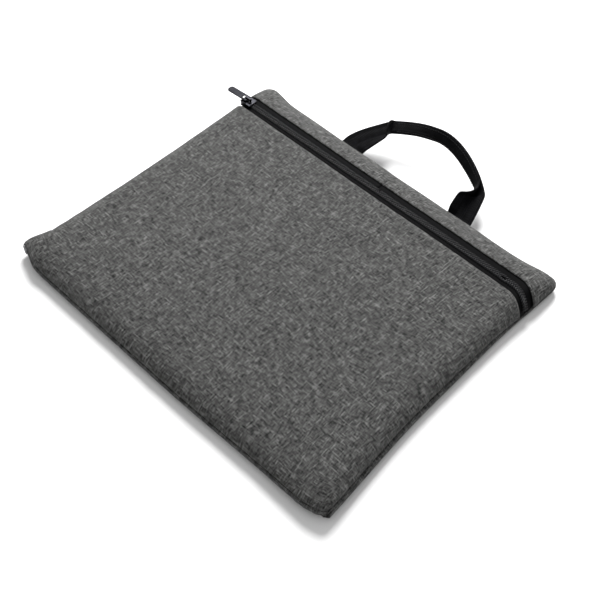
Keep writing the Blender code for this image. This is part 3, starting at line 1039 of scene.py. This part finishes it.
class SLEEVE_OT_coils(bpy.types.Operator):
    """Make the zip's two nylon coils, turn by turn"""

    bl_idname = "sleeve.coils"
    bl_label = "Zip coils"

    def execute(self, context):
        points, reach = zip_path()
        start_lower = SLIDER_LOW.x + COIL_START_LOWER
        start_upper = SLIDER_LOW.x + COIL_START_UPPER
        self.coil("lower_coil", -1, points, reach, start_lower, points[-1].x, 0)
        self.coil("upper_coil_left", 1, points, reach, start_upper, 0.0, -1)
        self.coil("upper_coil_right", 1, points, reach, 0.0, points[-1].x, 1)
        return {"FINISHED"}

    def coil(self, name, sign, points, reach, x_low, x_high, side):
        """One coil on one side of the zip's centre line, between two places along it."""
        pitch = sizes().coil_pitch
        chosen = []
        first = next(k for k, p in enumerate(points) if p.x >= x_low)
        last = max(k for k, p in enumerate(points) if p.x <= x_high)
        turns = range(math.ceil(reach[first] / pitch), math.floor(reach[last] / pitch))
        phase = 0.5 if sign > 0 else 0.0
        angles = [2 * math.pi * k / COIL_TURN_POINTS for k in range(COIL_TURN_POINTS)] * len(turns)
        goals = [
            (turn + phase + k / COIL_TURN_POINTS) * pitch for turn in turns for k in range(COIL_TURN_POINTS)
        ]
        for angle, (index, share) in zip(angles, walk(reach, goals)):
            at = points[index].lerp(points[index + 1], min(max(share, 0), 1))
            along = (points[index + 1] - points[index]).normalized()
            normal = Vector((-along.z, 0, along.x))
            parted = by_post(at.x)
            out = COIL_OUT + COIL_ASIDE * parted
            half_width = COIL_HALF_WIDTH - COIL_NARROWER * parted
            y = at.y + sign * (out - half_width * math.cos(angle))
            up = COIL_UP + COIL_HALF_HEIGHT * math.sin(angle)
            chosen.append(Vector((at.x, y, at.z)) + normal * up)
        curve = bpy.data.curves.new(name, "CURVE")
        curve.dimensions = "3D"
        curve.bevel_depth = sizes().coil_wire
        curve.bevel_resolution = 1
        curve.use_fill_caps = True
        spline = curve.splines.new("POLY")
        spline.points.add(len(chosen) - 1)
        for point, place in zip(spline.points, chosen):
            point.co = (*place, 1)
        maker = placed(name, curve)
        graph = bpy.context.evaluated_depsgraph_get()
        mesh = bpy.data.meshes.new_from_object(maker.evaluated_get(graph))
        bpy.data.objects.remove(maker)
        mesh.materials.clear()
        mesh.materials.append(look("coil"))
        mesh.shade_smooth()
        piece = placed(name, mesh)
        hold(piece, side)
        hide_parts("zip_coil_lower" if sign < 0 else "zip_coil_upper")


class SLEEVE_OT_topstitching(bpy.types.Operator):
    """Sew the topstitches along both edges of the zip"""

    bl_idname = "sleeve.topstitching"
    bl_label = "Topstitching"

    def execute(self, context):
        low_x, high_x = STITCH_X
        upper_y = ZIP_HIGH_Y + STITCH_FROM_EDGE
        self.row("topstitch_lower", ZIP_LOW_Y - STITCH_FROM_EDGE, low_x, high_x, None)
        self.row("topstitch_upper_left", upper_y, low_x, 0.0, -1)
        self.row("topstitch_upper_right", upper_y, 0.0, high_x, 1)
        return {"FINISHED"}

    def row(self, name, y, x_low, x_high, side):
        """One row of stitches lying on the cloth."""
        pitch = sizes().stitch_pitch
        half_sizes = (pitch * STITCH_LENGTH_SHARE, STITCH_HALF_WIDTH, STITCH_HALF_HEIGHT, 1)
        bm = bmesh.new()
        for k in range(math.ceil(x_low / pitch), math.floor(x_high / pitch) + 1):
            x = (k + 0.5) * pitch
            if x > x_high:
                continue
            spot = surface_point(x, y)
            ahead = surface_point(x + STITCH_LOOK_AHEAD, y)
            lean = math.atan2(ahead.z - spot.z, ahead.x - spot.x)
            turned = Matrix.Translation(spot) @ Matrix.Rotation(-lean, 4, "Y")
            shaped = turned @ Matrix.Diagonal(half_sizes)
            bmesh.ops.create_uvsphere(bm, u_segments=8, v_segments=6, radius=1, matrix=shaped)
        piece = finish_mesh(name, bm, "thread")
        hold(piece, side)
        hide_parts("zip_stitching_upper" if side else "zip_stitching_lower")


def surface_point(x, y):
    """The point of the front cloth above this place in the plan."""
    round_x = sizes().side_round
    left, right = FRONT.left(y), FRONT.right(y)
    if x < left + round_x:
        column = Stop(-1, 1 - (x - left) / round_x)
    elif x > right - round_x:
        column = Stop(1, 1 - (right - x) / round_x)
    else:
        column = Stop(0, 0.0, (x - left - round_x) / (right - left - 2 * round_x))
    if y > ZIP_HIGH_Y:
        row = Stop(1, 1 - (SLEEVE_HIGH.y - y) / (SLEEVE_HIGH.y - ZIP_HIGH_Y))
    else:
        row = Stop(0, 0.0, y)
    return FRONT.place(column, row)


# Slider


class SLEEVE_OT_metal(bpy.types.Operator):
    """Finish the slider, its crown and the pull tab in dark metal, and the strap's hidden ends"""

    bl_idname = "sleeve.metal"
    bl_label = "Slider, pull tab and strap ends"

    def execute(self, context):
        finishes = {
            "slider_body": "metal",
            "slider_crown": "metal",
            "pull_tab": "metal",
            "handle_end_left": "coil",
            "handle_end_right": "coil",
        }
        for node, material in finishes.items():
            mesh = frame["nodes"][node].data
            mesh.materials.clear()
            mesh.materials.append(look(material))
        return {"FINISHED"}


# Handle

# The strap's outer edge in the handle's plane, across the sleeve and out from its top seam: the left
# leg, the two halves of the arched grip, and the right leg. Each is a curve with its ends first and
# last, and between them the two handles that bend it.
STRAP_CURVES = (
    ((-0.072, 0.000), (-0.071, 0.012), (-0.057, 0.026), (-0.047, 0.038)),
    ((-0.047, 0.038), (-0.031, 0.048), (-0.010, 0.0585), (0.006, 0.0585)),
    ((0.006, 0.0585), (0.028, 0.0585), (0.053, 0.045), (0.071, 0.029)),
    ((0.071, 0.029), (0.073, 0.025), (0.076, 0.009), (0.078, 0.000)),
)
STRAP_SEWN_IN = 0.010
CURVE_STEPS = 40
ROUTE_STEP = 0.0013

# How far the inner half of the strap is folded over and the strap is tilted, in degrees. The first
# number counts the curves: 1.5 is half way along the second one.
STRAP_BENDS = (
    (0.0, 0, 0),
    (0.5, 20, 0),
    (1.0, 56, 0),
    (1.06, 180, 0),
    (1.5, 180, 5),
    (1.75, 180, 20),
    (1.9, 180, 30),
    (2.3, 180, 30),
    (2.5, 180, 34),
    (2.8, 180, 52),
    (2.9, 160, 46),
    (3.0, 100, 24),
    (3.1, 66, 8),
    (3.5, 40, 0),
    (4.0, 10, 0),
)

# How often the route, its bends and the direction across the strap are evened out
EVEN_ROUTE, EVEN_BENDS, EVEN_ACROSS = 3, 1, 40

# The strap: steps across it, its height over the plane for its thickness, and where the fold is full
STRAP_SHARES = 16
STRAP_RISE = 1.15
FULL_FOLD = 0.0015
STRAP_BEHIND_AXIS = 0.002
STRAP_LEVEL, STRAP_LEVEL_RUN = 0.004, 0.008
HANDLE_LIFT = math.atan2(STRAP_HIGH.z - SEAM_Z, STRAP_HIGH.y - HANDLE_PIVOT.y)

# The grip's stitches: the least fold that is sewn, in radians, two rows, and a stitch's half sizes
SEWN_FOLD = 3.13
SEWN_ROWS = (0.12, 0.44)
SEWN_HALF_SIZES = (0.0010, 0.00026, 0.0002, 1)


def strap_bend(at):
    """The fold and the tilt, in radians, this far along the curves."""
    for before, after in zip(STRAP_BENDS, STRAP_BENDS[1:]):
        if at <= after[0]:
            share = (at - before[0]) / (after[0] - before[0])
            bend = Vector(before[1:]).lerp(Vector(after[1:]), share)
            return bend * math.radians(1)
    return Vector(STRAP_BENDS[-1][1:]) * math.radians(1)


def strap_rows():
    """Places and bends all along the strap, with the ends that are sewn in."""
    rows = []
    for k, curve in enumerate(STRAP_CURVES):
        knots = [Vector((*place, 0)) for place in curve]
        places = interpolate_bezier(*knots, CURVE_STEPS + 1)
        for step, place in enumerate(places[:-1]):
            rows.append((place, strap_bend(k + step / CURVE_STEPS)))
    rows.append((places[-1], strap_bend(len(STRAP_CURVES))))
    inside = Vector((0, STRAP_SEWN_IN, 0))
    flat = Vector((0, 0))
    return [(rows[0][0] - inside, flat), *rows, (rows[-1][0] - inside, flat)]


def even_route():
    """The route at even steps, with its fold and tilt, and the direction across the strap."""
    rows = strap_rows()
    reach = distances([place for place, _ in rows])
    count = round(reach[-1] / ROUTE_STEP)
    places, bends = [], []
    for index, share in walk(reach, [reach[-1] * k / count for k in range(count + 1)]):
        places.append(rows[index][0].lerp(rows[index + 1][0], share))
        bends.append(rows[index][1].lerp(rows[index + 1][1], share))
    broad = evened(places, EVEN_ACROSS)
    inward = []
    for k in range(len(broad)):
        along = (broad[min(k + 1, count)] - broad[max(k - 1, 0)]).normalized()
        inward.append(Vector((along.y, -along.x)))
    return list(zip(evened(places, EVEN_ROUTE), evened(bends, EVEN_BENDS), inward))


def evened(rows, passes):
    """The rows with each one drawn towards its neighbours, this many times."""
    for _ in range(passes):
        rows = [
            (rows[max(k - 1, 0)] + rows[k] * 2 + rows[min(k + 1, len(rows) - 1)]) / 4
            for k in range(len(rows))
        ]
    return rows


class SLEEVE_OT_handle(bpy.types.Operator):
    """Make the webbing handle, folded in half and sewn along its grip"""

    bl_idname = "sleeve.handle"
    bl_label = "Webbing handle"

    def execute(self, context):
        stations = even_route()
        shares = spaced(0.0, 1.0, STRAP_SHARES)
        width = sizes().webbing_width
        lift = sizes().webbing * STRAP_RISE

        def place(k, share):
            return self.spot(stations[k], share * width, width, lift)

        columns = list(range(len(stations)))
        middle = distances([place(k, 0.25) for k in columns])
        bm = mapped_grid(columns, shares, place, (middle, [share * width for share in shares]))
        strap = finish_mesh("webbing_strap", bm, "webbing")
        thicken(strap, sizes().webbing, 0.0)
        rounded = strap.modifiers.new("rounding", "SUBSURF")
        rounded.levels = rounded.render_levels = 1
        apply_modifiers(strap)
        self.attach(strap)
        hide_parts("handle_strap")
        self.stitches(stations, width, lift)
        return {"FINISHED"}

    def spot(self, station, reach, width, lift, above=0.0):
        """The place this far in from the strap's outer edge, at the height above its face."""
        at, bend, inward = station
        fold, tilt = bend
        first = min(reach, width / 2)
        over = max(reach - width / 2, 0.0)
        layer = lift * fold / math.pi * min(over / FULL_FOLD, 1.0) + above
        across = first + over * math.cos(fold)
        up = over * math.sin(fold) + layer
        flat = at.to_2d() + inward * (across * math.cos(tilt) + up * math.sin(tilt))
        return self.lifted(flat, up * math.cos(tilt) - across * math.sin(tilt))

    def lifted(self, flat, height):
        """From the handle's plane to the sleeve's frame. The sewn-in ends stay level."""
        out = max(flat.y, 0.0)
        y = HANDLE_PIVOT.y - STRAP_BEHIND_AXIS + min(flat.y, 0.0) + out * math.cos(HANDLE_LIFT)
        z = SEAM_Z + out * math.sin(HANDLE_LIFT)
        normal = Vector((0, -math.sin(HANDLE_LIFT), math.cos(HANDLE_LIFT)))
        raised = height * smooth((flat.y + STRAP_LEVEL) / STRAP_LEVEL_RUN)
        return Vector((flat.x, y, z)) + normal * raised

    def attach(self, piece):
        """The real strap is sewn to the sleeve; here its place is only baked into its mesh, and its shape
        bends into the handle at the top seam.
        """
        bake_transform(piece)

    def stitches(self, stations, width, lift):
        """Two rows of thread that hold the fold."""
        bm = bmesh.new()
        above = sizes().webbing / 2
        grip = [station for station in stations if station[1].x > SEWN_FOLD]
        for before, station in zip(grip[2::2], grip[3::2]):
            for share in SEWN_ROWS:
                reach = width * (1 - share)
                spot = self.spot(station, reach, width, lift, above)
                along = (spot - self.spot(before, reach, width, lift, above)).normalized()
                turned = along.to_track_quat("X", "Z").to_matrix().to_4x4()
                shaped = Matrix.Translation(spot) @ turned @ Matrix.Diagonal(SEWN_HALF_SIZES)
                bmesh.ops.create_uvsphere(bm, u_segments=8, v_segments=6, radius=1, matrix=shaped)
        thread = finish_mesh("grip_thread", bm, "dark_thread")
        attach(thread, "handle")
        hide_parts("grip_stitching")


# Stage

# Lights: name, place, size and power
LIGHTS = (
    ("key", (-0.66, 0.86, 1.12), 0.7, 52.0),
    ("fill", (0.4, -0.1, 1.7), 1.8, 4.0),
)
WORLD_LIGHT = 0.58
FLOOR_HALF = 4
FLOOR_COLOUR = (0.74, 0.74, 0.74, 1)

# Camera: degrees round from the front and up from the floor, distance, target and lens in mm
CAMERA_ROUND, CAMERA_UP = 44.2, 53.4
CAMERA_DISTANCE = 0.826
CAMERA_TARGET = Vector((0.0233, -0.0104, 0.0))
CAMERA_LENS, CAMERA_SENSOR = 60.0, 36.0


class SLEEVE_OT_stage(bpy.types.Operator):
    """Set up the pale floor, the soft lights and the camera"""

    bl_idname = "sleeve.stage"
    bl_label = "Stage"

    def execute(self, context):
        scene = context.scene
        scene.view_settings.view_transform = "Standard"
        self.floor()
        for light in LIGHTS:
            self.light(*light)
        world = bpy.data.worlds.new("soft_room")
        world.use_nodes = True
        world.node_tree.nodes["Background"].inputs["Color"].default_value = (1, 1, 1, 1)
        world.node_tree.nodes["Background"].inputs["Strength"].default_value = WORLD_LIGHT
        scene.world = world
        self.camera(scene)
        return {"FINISHED"}

    def floor(self):
        """A plain pale floor, under everything."""
        bm = bmesh.new()
        bmesh.ops.create_grid(bm, x_segments=1, y_segments=1, size=FLOOR_HALF)
        mesh = bpy.data.meshes.new("floor")
        bm.to_mesh(mesh)
        bm.free()
        made, tree, shader = new_material("pale_floor", 0.9)
        shader.inputs["Base Color"].default_value = FLOOR_COLOUR
        shader.inputs["Specular IOR Level"].default_value = 0.0
        mesh.materials.append(made)
        floor = placed("floor", mesh)

    def light(self, name, place, size, power):
        """A round soft light, turned to the sleeve."""
        data = bpy.data.lights.new(name, "AREA")
        data.shape = "DISK"
        data.size = size
        data.energy = power
        lamp = placed(name, data)
        lamp.location = place
        lamp.rotation_euler = (-Vector(place)).to_track_quat("-Z", "Y").to_euler()

    def camera(self, scene):
        """The camera, turned to its target."""
        azimuth, elevation = math.radians(CAMERA_ROUND), math.radians(CAMERA_UP)
        direction = Vector((
            math.sin(azimuth) * math.cos(elevation),
            -math.cos(azimuth) * math.cos(elevation),
            math.sin(elevation),
        ))
        data = bpy.data.cameras.new("camera")
        data.lens = CAMERA_LENS
        data.sensor_width = CAMERA_SENSOR
        camera = placed("camera", data)
        camera.location = CAMERA_TARGET + direction * CAMERA_DISTANCE
        camera.rotation_euler = direction.to_track_quat("Z", "Y").to_euler()
        scene.camera = camera


STEPS = (
    SLEEVE_OT_cloth,
    SLEEVE_OT_inside,
    SLEEVE_OT_bindings,
    SLEEVE_OT_tapes,
    SLEEVE_OT_coils,
    SLEEVE_OT_topstitching,
    SLEEVE_OT_metal,
    SLEEVE_OT_handle,
    SLEEVE_OT_stage,
)


class SLEEVE_PT_panel(bpy.types.Panel):
    """The sleeve's steps, sizes and colours"""

    bl_idname = "SLEEVE_PT_panel"
    bl_label = "Laptop Sleeve"
    bl_space_type = "VIEW_3D"
    bl_region_type = "UI"
    bl_category = "Sleeve"

    def draw(self, context):
        for step in STEPS:
            self.layout.operator(step.bl_idname)
        for holder in (context.scene.sleeve_sizes, context.scene.sleeve_colours):
            box = self.layout.box()
            for name in holder.__annotations__:
                box.prop(holder, name)


CLASSES = (SleeveSizes, SleeveColours, *STEPS, SLEEVE_PT_panel)


def register():
    for part in CLASSES:
        bpy.utils.register_class(part)
    bpy.types.Scene.sleeve_sizes = bpy.props.PointerProperty(type=SleeveSizes)
    bpy.types.Scene.sleeve_colours = bpy.props.PointerProperty(type=SleeveColours)


def unregister():
    del bpy.types.Scene.sleeve_colours
    del bpy.types.Scene.sleeve_sizes
    for part in reversed(CLASSES):
        bpy.utils.unregister_class(part)


def main():
    """Build the whole sleeve."""
    register()
    bpy.ops.sleeve.cloth()
    bpy.ops.sleeve.inside()
    bpy.ops.sleeve.bindings()
    bpy.ops.sleeve.tapes()
    bpy.ops.sleeve.coils()
    bpy.ops.sleeve.topstitching()
    bpy.ops.sleeve.metal()
    bpy.ops.sleeve.handle()
    bpy.ops.sleeve.stage()


if __name__ == "__main__":
    main()
